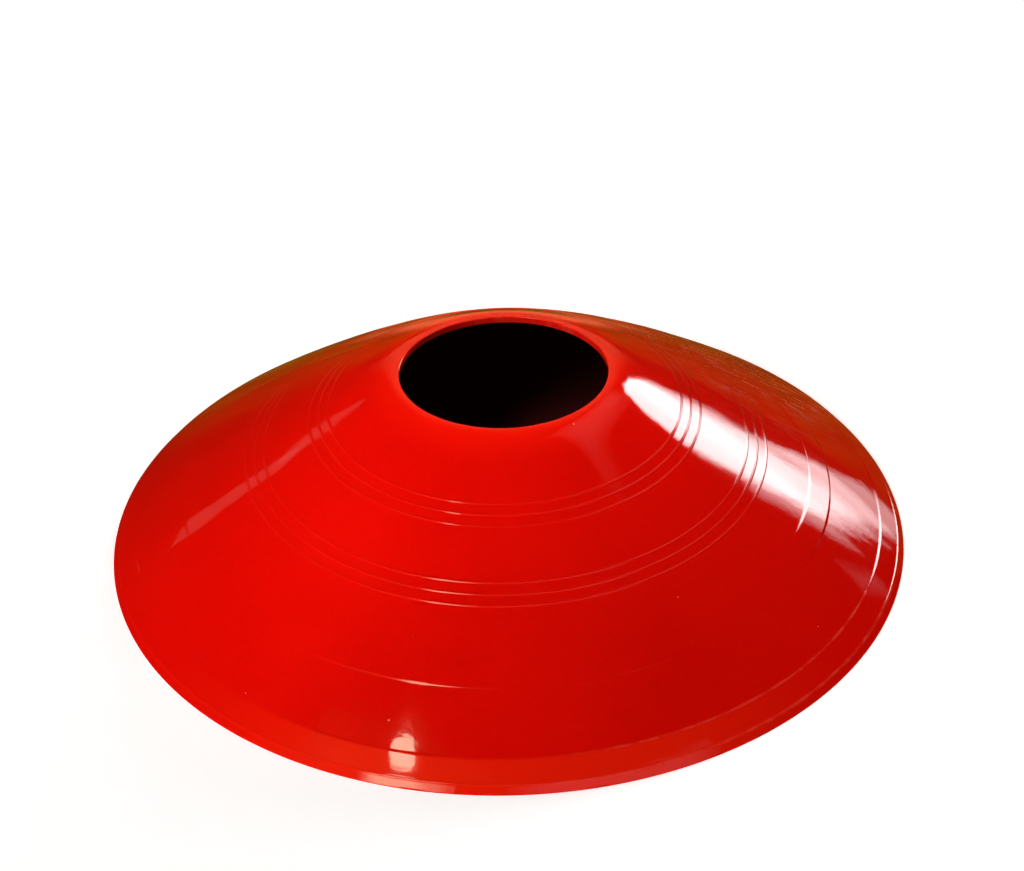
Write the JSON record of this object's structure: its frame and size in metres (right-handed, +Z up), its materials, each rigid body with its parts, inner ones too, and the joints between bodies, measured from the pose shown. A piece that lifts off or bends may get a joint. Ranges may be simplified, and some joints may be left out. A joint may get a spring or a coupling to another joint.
{
  "type": "sports marker cone",
  "caption": "Low round sports marker: a thin glossy saucer-shaped plastic shell with a top hole, fine moulded rings on the wall and an open underside for stacking.",
  "frame": {"origin": "centre of the base plane, on the cone's axis, where the foot rests on the ground", "axes": "+Z up along the cone's axis, out of the top hole; X and Y are equivalent because the part is round"},
  "size_m": [0.19, 0.19, 0.0447],
  "materials": {
    "shell_plastic": "glossy red soft polyethylene, moulded, with fine handling scratches"
  },
  "bodies": {
    "root": {"cone_shell": "shell_plastic"}
  },
  "joints": []
}
